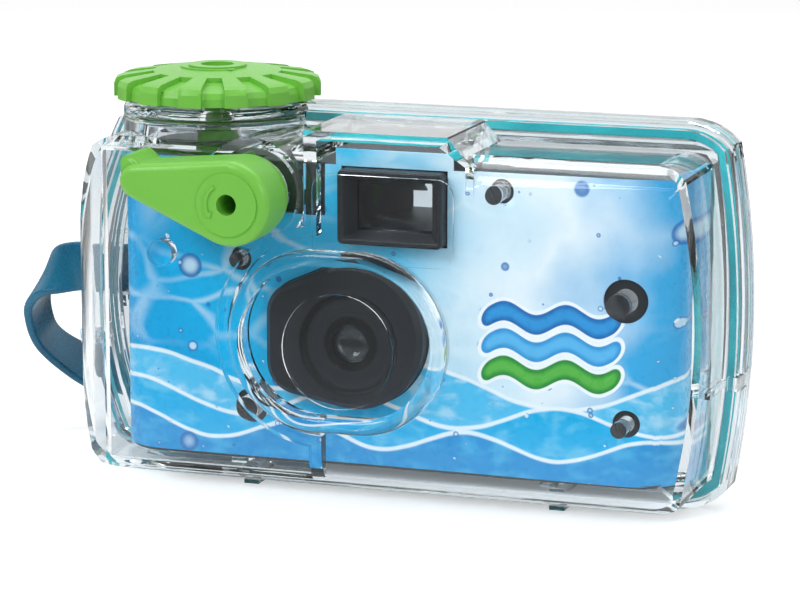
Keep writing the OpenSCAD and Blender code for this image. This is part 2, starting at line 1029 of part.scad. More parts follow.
// Half section of what a flute takes off the rim and the dome
module knob_flute() {
    difference() {
        translate([flute_in, -over])
            square([knob_r, knob_h + 2 * over]);
        knob_profile(knob_r - flute_depth, knob_h - flute_top);
        translate([0, -2 * over])
            square([knob_r - flute_depth, 3 * over]);
    }
}

// A curved arrow that shows which way to turn
module turn_mark(r, from, to) {
    half = mark_w / 2;
    rise = (to - from) / mark_steps;
    polygon(concat(
        [for (k = [0 : mark_steps]) (r + half) * [cos(from + k * rise), sin(from + k * rise)]],
        [for (k = [mark_steps : -1 : 0]) (r - half) * [cos(from + k * rise), sin(from + k * rise)]]
    ));
    polygon([
        (r + mark_head) * [cos(to), sin(to)],
        r * [cos(to + mark_point), sin(to + mark_point)],
        (r - mark_head) * [cos(to), sin(to)]
    ]);
}

module wind_knob() {
    color("yellowgreen") {
        translate([knob_x, knob_y, knob_z])
            difference() {
                union() {
                    difference() {
                        rotate_extrude()
                            knob_profile(knob_r, knob_h);
                        for (k = [0 : lobe_count - 1])
                            rotate([0, 0, k * 360 / lobe_count])
                                rotate_extrude(angle = lobe_angle)
                                    knob_flute();
                    }
                    translate([0, 0, knob_h - over])
                        cylinder(r = knob_ring_r, h = over + knob_ring_h);
                    translate([0, 0, knob_h - over])
                        linear_extrude(over + mark_h)
                            turn_mark(knob_mark_r, -150, -50);
                }
                translate([0, 0, knob_h - knob_dimple])
                    cylinder(r = knob_hole_r, h = knob_dimple + over);
                translate([0, 0, -over])
                    difference() {
                        cylinder(r = knob_r - knob_skirt, h = over + knob_h * recess_share);
                        cylinder(r = bush_r, h = over + knob_h * recess_share);
                    }
            }
        translate([knob_x, knob_y, bush_z])
            cylinder(r = shaft_r, h = knob_z - bush_z + over);
        translate([knob_x, knob_y, coupler_z])
            cylinder(r = stem_r, h = bush_z - coupler_z + over);
    }
}

module knob_seal() {
    color("dimgray")
        translate([knob_x, knob_y, knob_seal_z])
            seal_ring(shaft_r + ring_wire + run_fit);
}

module wind_coupler() {
    color("olivedrab")
        difference() {
            translate([knob_x, knob_y, coupler_z]) {
                cylinder(r = coupler_r, h = coupler_h);
                for (a = [0:120:240])
                    rotate([0, 0, a])
                        translate([prong_r, 0, -prong_len])
                            cylinder(r = prong_d / 2, h = prong_len + over);
            }
            translate([knob_x, knob_y, coupler_z - over])
                cylinder(r = stem_r + run_fit, h = coupler_h + 2 * over);
        }
}

module wind_wheel() {
    tooth_r = wheel_r - wheel_tooth;
    color("dimgray")
        translate([knob_x, knob_y, 0])
            difference() {
                union() {
                    translate([0, 0, wheel_z])
                        linear_extrude(wheel_h)
                            polygon([
                                for (k = [0 : wheel_teeth - 1])
                                    let (a = k * 360 / wheel_teeth, b = 360 / wheel_teeth)
                                    each [
                                        wheel_r * [cos(a), sin(a)],
                                        tooth_r * [cos(a + tooth_share * b), sin(a + tooth_share * b)]
                                    ]
                            ]);
                    translate([0, 0, wheel_z])
                        cylinder(r = wheel_hub_r, h = coupler_z - seat - wheel_z);
                    translate([0, 0, spool_top + seat])
                        cylinder(r = fork_r, h = wheel_z - spool_top);
                }
                for (a = [0:120:240])
                    rotate([0, 0, a])
                        translate([prong_r, 0, coupler_z - prong_len - seat])
                            cylinder(r = prong_d / 2 + seat, h = prong_len + over);
            }
}

// Leaf that stops the wheel from turning back, held on the cover's end wall
module wheel_pawl() {
    base = cam_x0 + label_t + cover_wall + seat;
    tip = knob_x - wheel_r - gap;
    color("silver")
        translate([0, 0, wheel_z + seat])
            linear_extrude(wheel_h - 2 * seat)
                polygon([
                    [base, knob_y + pawl_len],
                    [base + pawl_t, knob_y + pawl_len],
                    [base + pawl_t, knob_y + pawl_len - pawl_t],
                    [tip, knob_y + pawl_t / 2],
                    [tip, knob_y],
                    [base + pawl_t / 2, knob_y + pawl_t],
                    [base, knob_y + pawl_t]
                ]);
}

module can_spool() {
    color("black")
        translate([knob_x, knob_y, 0]) {
            translate([0, 0, can_z + can_wall + seat])
                cylinder(r = spool_r, h = can_h - 2 * can_wall - 2 * seat);
            translate([0, 0, can_z - spool_down])
                cylinder(r = spool_pin_r, h = spool_top - can_z + spool_down);
        }
}

// Shutter lever and release

module lever_outline(grow) {
    offset(r = grow)
        hull() {
            circle(lever_hub_r, $fn = 64);
            translate([tip_r - lever_len, tip_z])
                circle(tip_r, $fn = 48);
        }
}

module shutter_lever() {
    color("yellowgreen")
        difference() {
            union() {
                translate([lever_x, 0, lever_z])
                    hull()
                        for (a = [0:30:90])
                            slab_y(lever_front + lever_soft * (1 - cos(a)),
                                lever_back - lever_rise - lever_soft * (1 - cos(a)))
                                lever_outline(lever_soft * (sin(a) - 1));
                translate([lever_x, 0, lever_z])
                    slab_y(lever_front + lever_depth * horn_share, lever_back - lever_rise)
                        hull() {
                            translate([tip_r - lever_len, tip_z])
                                circle(tip_r - horn_neck, $fn = 32);
                            translate([horn_r - lever_len + horn_in, horn_z])
                                circle(horn_r, $fn = 32);
                        }
                rod_y(lever_x, lever_z, lever_disc_r, lever_front - mark_h, lever_front + over);
                translate([lever_x, 0, lever_z])
                    slab_y(lever_front - 2 * mark_h, lever_front + over)
                        turn_mark(lever_mark_r, 125, 205);
                turn_y(lever_x, lever_z, lever_back - lever_depth / 2)
                    soft_disc(lever_hub_r - hub_in, lever_depth / 2, hub_soft);
                rod_y(lever_x, lever_z, lever_shaft_r, lever_back - over, arm_y - seat);
            }
            translate([0, lever_front, 0])
                rod_y(lever_x, lever_z, lever_hole_d / 2, -2 * over, lever_hole_depth);
        }
}

module lever_seal() {
    color("dimgray")
        translate([lever_x, lever_seal_y, lever_z])
            rotate([90, 0, 0])
                seal_ring(lever_shaft_r + ring_wire + run_fit);
}

// Torsion spring round the lever's bush
module lever_spring() {
    rings = spring_turns * spring_rings;
    sides = wire_sides;
    points = [
        for (i = [0 : rings])
            let (
                a = i * 360 / spring_rings,
                y = spring_y + i * spring_pitch / spring_rings,
                out = [cos(a), 0, sin(a)]
            )
            for (k = [0 : sides - 1])
                let (b = k * 360 / sides)
                [lever_x, y, lever_z] + out * (spring_r + spring_wire / 2 * cos(b))
                + [0, spring_wire / 2 * sin(b), 0]
    ];
    faces = concat(
        [[for (k = [0 : sides - 1]) k]],
        [
            for (i = [0 : rings - 1], k = [0 : sides - 1])
                let (p = i * sides + k, q = i * sides + (k + 1) % sides)
                each [[p, p + sides, q + sides], [p, q + sides, q]]
        ],
        [[for (k = [sides - 1 : -1 : 0]) rings * sides + k]]
    );
    color("silver")
        polyhedron(points, faces);
}

module release_arm() {
    color("olivedrab")
        difference() {
            union() {
                rod_y(lever_x, lever_z, arm_hub_r, arm_front, arm_y);
                slab_y(arm_y - arm_t, arm_y)
                    hull() {
                        translate([lever_x, lever_z])
                            circle(arm_hub_r - over, $fn = 32);
                        translate([button_x, finger_z])
                            circle(finger_r, $fn = 32);
                    }
                rod_y(button_x, finger_z, finger_r, arm_y - arm_t, button_y + button_d);
            }
            rod_y(lever_x, lever_z, lever_shaft_r + run_fit, arm_front - over, arm_y + over);
        }
}

module release_button() {
    color("dimgray")
        block([button_x - button_w / 2, button_y, button_top - button_len],
            [button_x + button_w / 2, button_y + button_d, button_top]);
}

// Inner camera

module plan_outline(inset) {
    w = cam_w - 2 * label_t - 2 * inset;
    d = cam_back - cover_front - 2 * inset;
    translate([cam_x, (cam_back + cover_front) / 2])
        rounded_rect(w, d, cam_end_r - inset);
}

module cover_plan(inset, z0, z1) {
    translate([0, 0, z0])
        linear_extrude(z1 - z0)
            plan_outline(inset);
}

module cam_hump(inset, y0, y1) {
    block([finder_x - cam_hump_half + inset, y0, cam_z1 - 2 * cover_wall],
        [finder_x + cam_hump_half - inset, y1, cam_z1 + hump_h - inset]);
}

module cover_shell() {
    difference() {
        union() {
            cover_plan(0, cam_z0, cam_z1);
            cam_hump(0, cover_front, cam_hump_back);
        }
        cover_plan(cover_wall, in_z0, in_z1);
        cam_hump(cover_wall, cover_front + cover_wall, cam_hump_back - cover_wall);
        translate([knob_x, knob_y, in_z1 - over])
            cylinder(r = top_hole_r, h = cover_wall + 2 * over);
    }
}

module lever_notch(y) {
    block([button_x - notch_left, -far / 2, notch_low], [lever_x + notch_right, y, far]);
}

module front_cover() {
    color("dimgray")
        difference() {
            union() {
                difference() {
                    cover_shell();
                    lever_notch(notch_y);
                }
                intersection() {
                    cover_plan(eps, cam_z0, cam_z1);
                    lever_notch(notch_y + cover_wall);
                    behind(notch_y);
                }
            }
            behind(split_y);
            rod_y(lens_x, lens_z, barrel_r + seat, cover_front - over, cover_front + 2 * cover_wall);
            slab_y(cover_front - over, cover_front + 2 * cover_wall)
                translate([finder_x, finder_z])
                    square([finder_win_w + 2 * finder_rim, finder_win_h + 2 * finder_rim], center = true);
            block([button_x - button_w / 2 - gap, button_y - gap, in_z1 - over],
                [button_x + button_w / 2 + gap, button_y + button_d + gap, cam_z1 + over]);
            // Slot for the release arm's finger
            block([button_x - button_w / 2 - 2 * gap, notch_y - over, cam_z1 - finger_room],
                [button_x + button_w / 2 + 2 * gap, button_y + button_d + gap, cam_z1 + over]);
            translate([dial_x, dial_y, in_z1 - over])
                cylinder(d = dial_window, h = cover_wall + 2 * over);
        }
}

module rear_cover() {
    color("dimgray") {
        // Pad that holds the film against the gate
        translate([lens_x, 0, lens_z])
            slab_y(film_y + film_t + seat, cam_back - cover_wall / 2)
                square([gate_w, gate_h], center = true);
        difference() {
            cover_shell();
            ahead(split_y);
            slab_y(cam_back - 2 * cover_wall, cam_back + over)
                translate([finder_x, eye_z])
                    square([eye_w - 2 * eye_rim, eye_h - 2 * eye_rim], center = true);
        }
    }
}

// Printed card wrapped round the front and both ends
module label_wrap() {
    color("deepskyblue")
        difference() {
            intersection() {
                union() {
                    label_band(cam_z0 + label_edge, cam_z1);
                    block([finder_x - cam_hump_half, -cam_front, cam_z1 - over],
                        [finder_x + cam_hump_half, cover_front, cam_z1 + hump_h]);
                }
                ahead(label_wrap_y);
            }
            for (p = posts)
                if (p[3] > 0)
                    rod_y(p[0], p[1], p[3] / 2, -cam_front - over, cover_front + over);
            lever_notch(cover_front + over);
            slab_y(-cam_front - over, cover_front + over) {
                panel_outline(seat);
                translate([finder_x, finder_z])
                    square([finder_w + 2 * seat, finder_h + 2 * seat], center = true);
            }
        }
}

module label_band(z0, z1) {
    translate([0, 0, z0])
        linear_extrude(z1 - z0)
            difference() {
                translate([cam_x, (cam_back - cam_front) / 2])
                    rounded_rect(cam_w, cam_d, cam_end_r + label_t);
                plan_outline(-run_fit);
            }
}

module main_frame() {
    back = film_y - gap;
    color("black")
        difference() {
            intersection() {
                cover_plan(frame_in, in_z0, frame_top);
                ahead(back);
            }
            // Cartridge and roll chambers, open to the back
            for (c = [[knob_x, can_r + seat], [roll_x, roll_r + gap]])
                translate([c[0], knob_y, can_z - seat]) {
                    cylinder(r = c[1], h = cam_h);
                    translate([-c[1], 0, 0])
                        cube([2 * c[1], cam_d, cam_h]);
                }
            // Spool ends turn in the floor
            translate([knob_x, knob_y, in_z0 - over])
                cylinder(r = spool_pin_r + gap, h = can_z);
            translate([roll_x, knob_y, core_pin_z - seat])
                cylinder(r = core_pin_r + run_fit, h = can_z);
            // Light path and film gate
            translate([lens_x, 0, lens_z]) {
                hull() {
                    slab_y(pocket_back - over, pocket_back)
                        square([throat_w, throat_h], center = true);
                    slab_y(back, back + over)
                        square([gate_w, gate_h], center = true);
                }
                slab_y(-cam_front, pocket_back)
                    circle(pocket_r);
            }
            translate([sprocket_x, sprocket_y, sprocket_z - gap])
                cylinder(r = sprocket_r + gap, h = cam_h);
            translate([sprocket_x, sprocket_y, sprocket_z - sprocket_pin_len - seat])
                cylinder(r = sprocket_pin_r + run_fit, h = cam_h);
            rod_y(pivot_x, pivot_z, pivot_d / 2, plate_y, pocket_back + pin_seat);
            translate([dial_x, dial_y, frame_top - dial_pin_len])
                cylinder(r = dial_pin_r + run_fit, h = cam_h);
        }
}

// Lens

module panel_outline(grow) {
    translate([lens_x + panel_off, lens_z + port_lift])
        offset(r = grow)
            hull() {
                circle(panel_r, $fn = 96);
                for (z = [panel_corner - panel_r * panel_foot, panel_r * panel_shoulder - panel_dip])
                    translate([panel_corner - panel_left, z])
                        circle(panel_corner, $fn = 48);
            }
}

module lens_panel() {
    color("black")
        difference() {
            hull() {
                slab_y(panel_y + panel_soft, cover_front)
                    panel_outline(0);
                slab_y(panel_y, cover_front)
                    panel_outline(-panel_soft);
            }
            rod_y(lens_x, lens_z, panel_hole_r, panel_y - over, cover_front + over);
            turn_y(lens_x, lens_z, panel_y - eps)
                polygon([
                    [0, 0],
                    [panel_dish_r, 0],
                    [panel_dish_r - dish_edge, dish_wall],
                    [panel_hole_r + dish_depth, dish_depth],
                    [0, dish_depth]
                ]);
            rod_y(lens_x, lens_z, lens_d / 2 + run_fit, lens_seat_y, cover_front + over);
        }
}

module front_lens() {
    reach = sqrt(lens_curve * lens_curve - lens_d * lens_d / 4);
    color("lightcyan", 0.6)
        intersection() {
            rod_y(lens_x, lens_z, lens_d / 2, panel_y, cover_front);
            translate([lens_x, lens_edge_y + reach, lens_z])
                sphere(lens_curve);
            translate([lens_x, lens_edge_y + lens_edge - reach, lens_z])
                sphere(lens_curve);
        }
}

module lens_retainer() {
    color("black")
        difference() {
            rod_y(lens_x, lens_z, lens_d / 2, retainer_y, cover_front);
            rod_y(lens_x, lens_z, lens_d / 2 - retainer_w, retainer_y - over, cover_front + over);
        }
}

module lens_barrel() {
    color("black")
        difference() {
            rod_y(lens_x, lens_z, barrel_r, cover_front, barrel_y);
            rod_y(lens_x, lens_z, rear_lens_r - rear_lens_lip, cover_front - over, barrel_y + over);
            rod_y(lens_x, lens_z, rear_lens_r + run_fit, rear_lens_y, barrel_y + over);
        }
}

module rear_lens() {
    reach = sqrt(lens_curve * lens_curve - rear_lens_r * rear_lens_r);
    color("lightcyan", 0.6)
        intersection() {
            rod_y(lens_x, lens_z, rear_lens_r, rear_lens_y, barrel_y);
            translate([lens_x, rear_lens_y + rear_lens_t - reach, lens_z])
                sphere(lens_curve);
        }
}

module shutter_plate() {
    color("black")
        difference() {
            rod_y(lens_x, lens_z, pocket_r - seat, plate_y, plate_y + plate_t);
            rod_y(lens_x, lens_z, aperture_d / 2, plate_y - over, plate_y + plate_t + over);
            rod_y(pivot_x, pivot_z, pivot_d / 2 + run_fit, plate_y - over, plate_y + plate_t + over);
        }
}

module shutter_blade() {
    color("silver")
        difference() {
            slab_y(blade_y, blade_y + blade_t) {
                translate([lens_x, lens_z])
                    circle(blade_r);
                hull() {
                    translate([lens_x, lens_z])
                        circle(blade_boss_r, $fn = 32);
                    translate([pivot_x, pivot_z])
                        circle(blade_boss_r - blade_waist, $fn = 32);
                }
                translate([pivot_x, pivot_z])
                    circle(blade_boss_r);
            }
            rod_y(pivot_x, pivot_z, pivot_d / 2 + run_fit, blade_y - over, blade_y + blade_t + over);
        }
}

module blade_pin() {
    color("silver")
        rod_y(pivot_x, pivot_z, pivot_d / 2, plate_y, pocket_back + pin_seat);
}

// Viewfinder

module finder_frame() {
    color("dimgray")
        difference() {
            translate([finder_x, 0, finder_z])
                slab_y(finder_y, cover_front)
                    rounded_rect(finder_w, finder_h, finder_rim);
            translate([finder_x, 0, finder_z])
                hull() {
                    slab_y(finder_y - eps, finder_y)
                        square([finder_w - 2 * finder_rim, finder_h - 2 * finder_rim], center = true);
                    slab_y(cover_front, cover_front + eps)
                        square([finder_win_w, finder_win_h], center = true);
                }
        }
}

module finder_glass() {
    w = finder_win_w + 2 * finder_rim - 2 * seat;
    h = finder_win_h + 2 * finder_rim - 2 * seat;
    back = cover_front + seat + finder_glass_t;
    color("lightcyan", 0.6)
        difference() {
            translate([finder_x, 0, finder_z])
                slab_y(cover_front + seat, back)
                    square([w, h], center = true);
            translate([finder_x, back + finder_curve - finder_glass_t / 2, finder_z])
                sphere(finder_curve, $fn = 240);
        }
}

module finder_tunnel() {
    walls = 2 * tunnel_wall;
    color("black")
        difference() {
            hull() {
                tunnel_ring(tunnel_y, finder_z, tunnel_w, tunnel_h);
                tunnel_ring(eye_y - seat - eps, eye_z, eye_w, eye_h);
            }
            hull() {
                tunnel_ring(tunnel_y - eps, finder_z, tunnel_w - walls, tunnel_h - walls);
                tunnel_ring(eye_y - seat, eye_z, eye_w - walls, eye_h - walls);
            }
        }
}

module tunnel_ring(y, z, w, h) {
    translate([finder_x, 0, z])
        slab_y(y, y + eps)
            square([w, h], center = true);
}

module finder_eyepiece() {
    color("lightcyan", 0.6)
        intersection() {
            translate([finder_x, 0, eye_z])
                slab_y(eye_y, eye_y + eye_t)
                    square([eye_w, eye_h], center = true);
            translate([finder_x, eye_y + eye_curve, eye_z])
                sphere(eye_curve + eye_t / 4);
        }
}

// Film

module film_can() {
    color("silver")
        difference() {
            translate([knob_x, knob_y, can_z])
                cylinder(r = can_r, h = can_h);
            translate([knob_x, knob_y, can_z + can_wall])
                cylinder(r = can_r - can_wall, h = can_h - 2 * can_wall);
            translate([knob_x, knob_y, can_z - over])
                cylinder(r = spool_pin_r + gap, h = can_h + 2 * over);
            block([knob_x, film_y - seat, film_z - seat],
                [knob_x + can_r, film_y + film_t + seat, film_z + film_w + seat]);
        }
}

module film_strip() {
    start = knob_x + sqrt(can_r * can_r - pow(film_y - knob_y, 2)) + seat;
    color("saddlebrown")
        block([start, film_y, film_z], [roll_x, film_y + film_t, film_z + film_w]);
}

module film_roll() {
    color("saddlebrown")
        translate([roll_x, knob_y, film_z])
            difference() {
                cylinder(r = roll_r, h = film_w);
                translate([0, 0, -over])
                    cylinder(r = core_r + run_fit, h = film_w + 2 * over);
            }
}

module roll_core() {
    color("black")
        translate([roll_x, knob_y, 0]) {
            translate([0, 0, can_z])
                cylinder(r = core_r, h = film_z + film_w + core_up - can_z);
            translate([0, 0, core_pin_z])
                cylinder(r = core_pin_r, h = can_z - core_pin_z + over);
        }
}

module sprocket() {
    root = sprocket_r - tooth_len;
    color("dimgray")
        translate([sprocket_x, sprocket_y, 0]) {
            translate([0, 0, sprocket_z])
                cylinder(r = root, h = sprocket_h);
            for (k = [0 : sprocket_teeth - 1])
                rotate([0, 0, k * 360 / sprocket_teeth])
                    translate([root - tooth_root, -tooth_w / 2, sprocket_z + tooth_edge])
                        cube([tooth_len + tooth_root / 2, tooth_w, sprocket_h - 2 * tooth_edge]);
            translate([0, 0, sprocket_z - sprocket_pin_len])
                cylinder(r = sprocket_pin_r, h = dial_z + dial_h - sprocket_z + sprocket_pin_len);
            translate([sprocket_pin_r / 2, -pinion_w / 2, dial_z])
                cube([pinion_r - sprocket_pin_r / 2, pinion_w, dial_h]);
        }
}

module counter_dial() {
    color("white")
        translate([dial_x, dial_y, 0]) {
            translate([0, 0, dial_z])
                linear_extrude(dial_h)
                    polygon([
                        for (k = [0 : 2 * dial_teeth - 1])
                            let (a = k * 180 / dial_teeth)
                            (dial_r - (k % 2) * dial_tooth) * [cos(a), sin(a)]
                    ]);
            translate([0, 0, frame_top - dial_pin_len + seat])
                cylinder(r = dial_pin_r, h = dial_z - frame_top + dial_pin_len);
        }
}

front_case();
rear_case();
case_gasket();
wrist_strap();
wind_knob();
knob_seal();
wind_coupler();
wind_wheel();
wheel_pawl();
shutter_lever();
lever_seal();
lever_spring();
release_arm();
release_button();
label_wrap();
front_cover();
rear_cover();
main_frame();
lens_panel();
front_lens();
lens_retainer();
lens_barrel();
rear_lens();
shutter_plate();
shutter_blade();
blade_pin();
finder_frame();
finder_glass();
finder_tunnel();
finder_eyepiece();
film_can();
can_spool();
film_strip();
film_roll();
roll_core();
sprocket();
counter_dial();
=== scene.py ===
"""Looks of a single-use film camera in a clear waterproof case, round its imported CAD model."""

import json
import math

import bmesh
import bpy
import numpy
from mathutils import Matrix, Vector


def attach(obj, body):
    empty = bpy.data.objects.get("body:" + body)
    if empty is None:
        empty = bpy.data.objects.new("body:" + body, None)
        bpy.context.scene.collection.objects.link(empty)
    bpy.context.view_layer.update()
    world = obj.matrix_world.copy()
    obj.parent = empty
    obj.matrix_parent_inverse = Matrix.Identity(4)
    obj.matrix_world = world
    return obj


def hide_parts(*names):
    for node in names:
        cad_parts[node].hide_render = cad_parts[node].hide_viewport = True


MM = 0.001
FRAME_W, FRAME_H = 800, 594

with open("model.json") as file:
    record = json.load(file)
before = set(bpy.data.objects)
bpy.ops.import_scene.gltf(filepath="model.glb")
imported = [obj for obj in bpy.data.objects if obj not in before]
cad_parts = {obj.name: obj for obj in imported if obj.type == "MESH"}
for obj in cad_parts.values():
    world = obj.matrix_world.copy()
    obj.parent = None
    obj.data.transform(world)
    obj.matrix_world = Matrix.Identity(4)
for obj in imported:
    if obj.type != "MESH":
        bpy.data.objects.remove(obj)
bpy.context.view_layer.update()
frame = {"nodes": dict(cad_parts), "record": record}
nodes = frame["nodes"]
body_of_node = {n: b for b, ns in frame["record"]["behaviour"]["bodies"].items() for n in ns}
slot_of_node = {s["node"]: s["material_slot"] for s in frame["record"]["subparts"]}


# Camera at the photograph's viewing angle

AZIMUTH, ELEVATION = math.radians(19), math.radians(11.5)
PIXELS_PER_M, FOCAL_PIXELS = 5300, 3400
ORIGIN_PIXEL = (409.2, 480.2)

right = Vector((math.cos(AZIMUTH), math.sin(AZIMUTH), 0))
up = Vector(
    (
        -math.sin(AZIMUTH) * math.sin(ELEVATION),
        math.cos(AZIMUTH) * math.sin(ELEVATION),
        math.cos(ELEVATION),
    )
)
back = right.cross(up)
pixels_right = FRAME_W / 2 - ORIGIN_PIXEL[0]
pixels_up = ORIGIN_PIXEL[1] - FRAME_H / 2
target = (right * pixels_right + up * pixels_up) / PIXELS_PER_M

camera_data = bpy.data.cameras.new("camera")
camera_data.sensor_width = 36
camera_data.lens = FOCAL_PIXELS / FRAME_W * camera_data.sensor_width
camera_data.clip_start = 0.05
camera_data.clip_end = 50
camera = bpy.data.objects.new("camera", camera_data)
bpy.context.scene.collection.objects.link(camera)
camera.location = target + back * (FOCAL_PIXELS / PIXELS_PER_M)
camera.rotation_mode = "QUATERNION"
camera.rotation_quaternion = (-back).to_track_quat("-Z", "Y")
bpy.context.scene.camera = camera


# Node helpers


def new_material(name):
    material = bpy.data.materials.new(name)
    material.use_nodes = True
    tree = material.node_tree
    tree.nodes.clear()
    output = tree.nodes.new("ShaderNodeOutputMaterial")
    shader = tree.nodes.new("ShaderNodeBsdfPrincipled")
    tree.links.new(shader.outputs["BSDF"], output.inputs["Surface"])
    return material, tree, shader, output


def add(tree, kind, **values):
    node = tree.nodes.new(kind)
    for name, value in values.items():
        if name in node.inputs:
            node.inputs[name].default_value = value
        else:
            setattr(node, name, value)
    return node


def math_node(tree, operation, a, b=None, c=None):
    node = tree.nodes.new("ShaderNodeMath")
    node.operation = operation
    for i, value in enumerate((a, b, c)):
        if value is None:
            continue
        if isinstance(value, (int, float)):
            node.inputs[i].default_value = value
        else:
            tree.links.new(value, node.inputs[i])
    return node.outputs[0]


def map_range(tree, value, low, high, to_low=0.0, to_high=1.0, smooth=True):
    node = tree.nodes.new("ShaderNodeMapRange")
    node.interpolation_type = "SMOOTHSTEP" if smooth else "LINEAR"
    tree.links.new(value, node.inputs["Value"])
    for name, number in (("From Min", low), ("From Max", high), ("To Min", to_low), ("To Max", to_high)):
        node.inputs[name].default_value = number
    return node.outputs["Result"]


def mix_color(tree, factor, a, b):
    node = tree.nodes.new("ShaderNodeMix")
    node.data_type = "RGBA"
    for socket, value in ((node.inputs[0], factor), (node.inputs[6], a), (node.inputs[7], b)):
        if isinstance(value, (int, float)):
            socket.default_value = value
        elif isinstance(value, tuple):
            socket.default_value = (*value, 1)
        else:
            tree.links.new(value, socket)
    return node.outputs[2]


def ramp(tree, value, stops):
    node = tree.nodes.new("ShaderNodeValToRGB")
    elements = node.color_ramp.elements
    while len(elements) < len(stops):
        elements.new(1)
    for element, (place, color) in zip(elements, stops):
        element.position = place
        element.color = (*color, 1)
    tree.links.new(value, node.inputs["Fac"])
    return node.outputs["Color"]


def object_coordinates(tree):
    return tree.nodes.new("ShaderNodeTexCoord").outputs["Object"]


def noise(tree, vector, scale, detail):
    node = add(tree, "ShaderNodeTexNoise", Scale=scale, Detail=detail)
    tree.links.new(vector, node.inputs["Vector"])
    return node.outputs["Fac"]


def bump(tree, shader, height, distance):
    node = add(tree, "ShaderNodeBump", Strength=1.0, Distance=distance)
    tree.links.new(height, node.inputs["Height"])
    tree.links.new(node.outputs["Normal"], shader.inputs["Normal"])


def linear(red, green, blue):
    """Linear colour of an sRGB colour from 0 to 255."""

    def channel(value):
        value /= 255
        return value / 12.92 if value <= 0.04045 else ((value + 0.055) / 1.055) ** 2.4

    return channel(red), channel(green), channel(blue)


# Materials

PLASTIC_IOR = 1.5
BROAD_SCALE, GRAIN_SCALE = 55, 2600
TONE_SPREAD = 0.06

# Panel round the lens: its axis, and the radii between which each zone fades: painted shade at the lens mouth and
# up the step wall, fine rings over the dish
LENS_X, LENS_Z = -3.4 * MM, 30.8 * MM
MOUTH_EDGE = 4.8 * MM, 5.4 * MM
STEP_FOOT = 7.8 * MM, 8.6 * MM
STEP_RIM = 9.3 * MM, 9.7 * MM
DISH_EDGE = 9.3 * MM, 9.6 * MM
RING_PITCH = 0.5 * MM

# Badge printed on the label
BADGE_X, BADGE_HALF = 33.5 * MM, 11.2 * MM
BADGE_WAVE, BADGE_SWING = 11.5 * MM, 1.1 * MM
STRIPE_CORE, STRIPE_HALF, STRIPE_BORDER = 0.4 * MM, 1.8 * MM, 2.5 * MM
PRINT_BLUR = 0.1 * MM


def clear_plastic(name, tint, ior):
    """Clear plastic that bends what is behind it and lets the lamps through."""
    material, tree, shader, output = new_material(name)
    shader.inputs["Base Color"].default_value = (*tint, 1)
    shader.inputs["Transmission Weight"].default_value = 1
    shader.inputs["IOR"].default_value = ior
    coordinates = object_coordinates(tree)
    haze = map_range(tree, noise(tree, coordinates, scale=60, detail=2), 0.35, 0.75, 0.0, 0.03)
    tree.links.new(haze, shader.inputs["Roughness"])
    bump(tree, shader, noise(tree, coordinates, scale=90, detail=2), 0.04 * MM)
    clear = tree.nodes.new("ShaderNodeBsdfTransparent")
    clear.inputs["Color"].default_value = (*tint, 1)
    mix = tree.nodes.new("ShaderNodeMixShader")
    rays = tree.nodes.new("ShaderNodeLightPath")
    tree.links.new(rays.outputs["Is Shadow Ray"], mix.inputs["Fac"])
    tree.links.new(shader.outputs["BSDF"], mix.inputs[1])
    tree.links.new(clear.outputs["BSDF"], mix.inputs[2])
    tree.links.new(mix.outputs["Shader"], output.inputs["Surface"])
    return material


def mottled(tree, coordinates, color):
    """The colour in broad patches, a little darker and lighter."""
    darker = tuple(c * (1 - TONE_SPREAD) for c in color)
    lighter = tuple(min(1, c * (1 + TONE_SPREAD)) for c in color)
    return mix_color(tree, noise(tree, coordinates, scale=BROAD_SCALE, detail=3), darker, lighter)


def moulded_plastic(name, color, roughness, grain=0.02 * MM, specular=0.5):
    material, tree, shader, _ = new_material(name)
    coordinates = object_coordinates(tree)
    tree.links.new(mottled(tree, coordinates, color), shader.inputs["Base Color"])
    fine = noise(tree, coordinates, scale=GRAIN_SCALE, detail=2)
    sheen = map_range(tree, fine, 0.3, 0.7, roughness - 0.05, roughness + 0.07)
    tree.links.new(sheen, shader.inputs["Roughness"])
    bump(tree, shader, fine, grain)
    shader.inputs["IOR"].default_value = PLASTIC_IOR
    shader.inputs["Specular IOR Level"].default_value = specular
    return material


